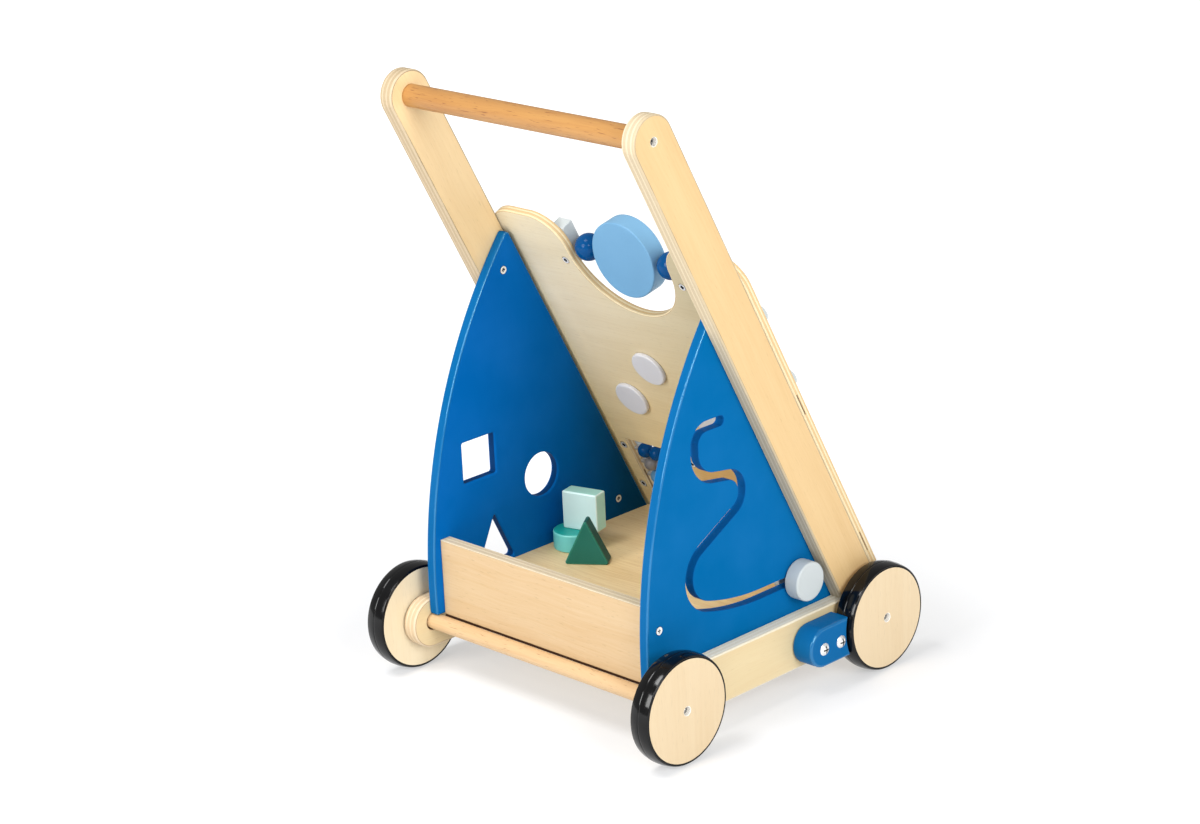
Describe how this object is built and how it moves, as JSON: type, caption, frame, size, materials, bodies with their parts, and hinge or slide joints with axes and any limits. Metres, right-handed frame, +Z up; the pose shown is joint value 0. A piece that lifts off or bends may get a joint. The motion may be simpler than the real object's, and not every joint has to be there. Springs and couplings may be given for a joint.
{
  "type": "baby push walker",
  "caption": "Wooden toddler push walker with a round handle bar, sloping activity board, shape-sorter and maze side panels, an open tray with loose blocks, and tyred wheels on turning axles.",
  "frame": {"origin": "on the floor, under the middle of the walker", "axes": "+X to the right of the child who pushes it, the maze panel's side; +Y forward, the way it rolls; +Z up"},
  "size_m": [0.2904, 0.293, 0.4535],
  "materials": {
    "birch_ply": "clear matt lacquer",
    "wheel_wood": "clear matt lacquer",
    "tyre_rubber": "glossy black rubber",
    "beech": "clear matt lacquer",
    "screw_steel": "zinc plated",
    "rod_steel": "plain",
    "blue_paint": "semi-gloss paint",
    "navy_paint": "gloss paint",
    "sky_paint": "satin paint",
    "grey_paint": "satin paint",
    "washer_plastic": "plain",
    "mint_paint": "satin paint",
    "teal_paint": "satin paint",
    "green_paint": "satin paint"
  },
  "bodies": {
    "frame": {"arm_left": "birch_ply", "arm_right": "birch_ply", "handle_bar": "beech", "handle_screws": "screw_steel", "rail_left": "birch_ply", "rail_right": "birch_ply", "side_panel_left": "blue_paint", "side_panel_right": "blue_paint", "panel_screws": "screw_steel", "rear_lip": "birch_ply", "lip_screws": "screw_steel", "tray_floor": "birch_ply", "activity_board": "birch_ply", "board_screws": "screw_steel", "brake_screws": "screw_steel", "spinner_rod": "beech", "spinner_holder_left": "grey_paint", "spinner_holder_right": "grey_paint", "knob_screws": "screw_steel", "holder_screws": "screw_steel", "bead_strip_left": "grey_paint", "bead_strip_right": "grey_paint", "bead_rods": "rod_steel"},
    "rear_axle_set": {"rear_axle": "beech", "wheel_rear_left": "wheel_wood", "wheel_rear_right": "wheel_wood", "tyre_rear_left": "tyre_rubber", "tyre_rear_right": "tyre_rubber", "rear_wheel_screws": "screw_steel", "rear_washers": "washer_plastic"},
    "front_axle_set": {"front_axle": "beech", "wheel_front_left": "wheel_wood", "wheel_front_right": "wheel_wood", "tyre_front_left": "tyre_rubber", "tyre_front_right": "tyre_rubber", "front_wheel_screws": "screw_steel", "front_washers": "washer_plastic"},
    "brake_left": {"brake_block_left": "blue_paint"},
    "brake_right": {"brake_block_right": "blue_paint"},
    "maze_slider": {"maze_stem": "grey_paint"},
    "maze_knob": {"maze_knob": "grey_paint"},
    "spinner_disc": {"spinner_disc": "sky_paint"},
    "spinner_ball_left": {"spinner_ball_left": "navy_paint"},
    "spinner_ball_right": {"spinner_ball_right": "navy_paint"},
    "knob_upper": {"knob_upper": "grey_paint"},
    "knob_lower": {"knob_lower": "grey_paint"},
    "beads_upper": {"beads_upper": "navy_paint"},
    "beads_middle": {"beads_middle": "grey_paint"},
    "beads_lower": {"beads_lower": "sky_paint"},
    "gear_top": {"gear_top": "sky_paint", "gear_axle_top": "grey_paint"},
    "gear_left": {"gear_left": "blue_paint", "gear_axle_left": "grey_paint"},
    "gear_right": {"gear_right": "navy_paint", "gear_axle_right": "grey_paint"},
    "block_round": {"block_round": "teal_paint"},
    "block_square": {"block_square": "mint_paint"},
    "block_triangle": {"block_triangle": "green_paint"}
  },
  "joints": [
    {"name": "rear_axle_turn", "type": "hinge", "parent": "frame", "child": "rear_axle_set", "pos_m": [0, -0.106, 0.0405], "axis": [1, 0, 0], "continuous": true},
    {"name": "front_axle_turn", "type": "hinge", "parent": "frame", "child": "front_axle_set", "pos_m": [0, 0.106, 0.0405], "axis": [1, 0, 0], "continuous": true},
    {"name": "brake_left_adjust", "type": "slide", "parent": "frame", "child": "brake_left", "axis": [0, 1, 0], "range_m": [-0.0022, 0]},
    {"name": "brake_right_adjust", "type": "slide", "parent": "frame", "child": "brake_right", "axis": [0, 1, 0], "range_m": [-0.0022, 0]},
    {"name": "maze_knob_slide", "type": "slide", "parent": "frame", "child": "maze_slider", "axis": [0, 1, 0], "range_m": [-0.036, 0.001]},
    {"name": "maze_knob_turn", "type": "hinge", "parent": "maze_slider", "child": "maze_knob", "pos_m": [0.1131, 0.046, 0.0826], "axis": [1, 0, 0], "continuous": true},
    {"name": "spinner_disc_turn", "type": "hinge", "parent": "frame", "child": "spinner_disc", "pos_m": [0, 0.00299, 0.31372], "axis": [1, 0, 0], "continuous": true},
    {"name": "spinner_ball_left_turn", "type": "hinge", "parent": "frame", "child": "spinner_ball_left", "pos_m": [-0.041, 0.00299, 0.31372], "axis": [1, 0, 0], "continuous": true},
    {"name": "spinner_ball_right_turn", "type": "hinge", "parent": "frame", "child": "spinner_ball_right", "pos_m": [0.041, 0.00299, 0.31372], "axis": [1, 0, 0], "continuous": true},
    {"name": "knob_upper_turn", "type": "hinge", "parent": "frame", "child": "knob_upper", "pos_m": [0.102, 0.01912, 0.28209], "axis": [0, 0.887, 0.4617], "continuous": true},
    {"name": "knob_lower_turn", "type": "hinge", "parent": "frame", "child": "knob_lower", "pos_m": [0.102, 0.04729, 0.22799], "axis": [0, 0.887, 0.4617], "continuous": true},
    {"name": "beads_upper_slide", "type": "slide", "parent": "frame", "child": "beads_upper", "axis": [1, 0, 0], "range_m": [-0.004, 0.018]},
    {"name": "beads_middle_slide", "type": "slide", "parent": "frame", "child": "beads_middle", "axis": [1, 0, 0], "range_m": [-0.004, 0.018]},
    {"name": "beads_lower_slide", "type": "slide", "parent": "frame", "child": "beads_lower", "axis": [1, 0, 0], "range_m": [-0.004, 0.018]},
    {"name": "gear_top_turn", "type": "hinge", "parent": "frame", "child": "gear_top", "pos_m": [-0.0214, 0.04963, 0.22132], "axis": [0, 0.887, 0.4617], "continuous": true},
    {"name": "gear_left_turn", "type": "hinge", "parent": "frame", "child": "gear_left", "pos_m": [-0.0584, 0.0681, 0.18584], "axis": [0, 0.887, 0.4617], "continuous": true},
    {"name": "gear_right_turn", "type": "hinge", "parent": "frame", "child": "gear_right", "pos_m": [0.0156, 0.0681, 0.18584], "axis": [0, 0.887, 0.4617], "continuous": true},
    {"name": "block_round_lift", "type": "slide", "parent": "frame", "child": "block_round", "axis": [0, 0, 1], "range_m": [0, 0.055]},
    {"name": "block_square_lift", "type": "slide", "parent": "block_round", "child": "block_square", "axis": [0, 0, 1], "range_m": [0, 0.055]},
    {"name": "block_triangle_lift", "type": "slide", "parent": "frame", "child": "block_triangle", "axis": [0, 0, 1], "range_m": [0, 0.1]}
  ],
  "couplings": [
    {"joint": "gear_left_turn", "follows": "gear_top_turn", "ratio": -1},
    {"joint": "gear_right_turn", "follows": "gear_top_turn", "ratio": -1}
  ]
}
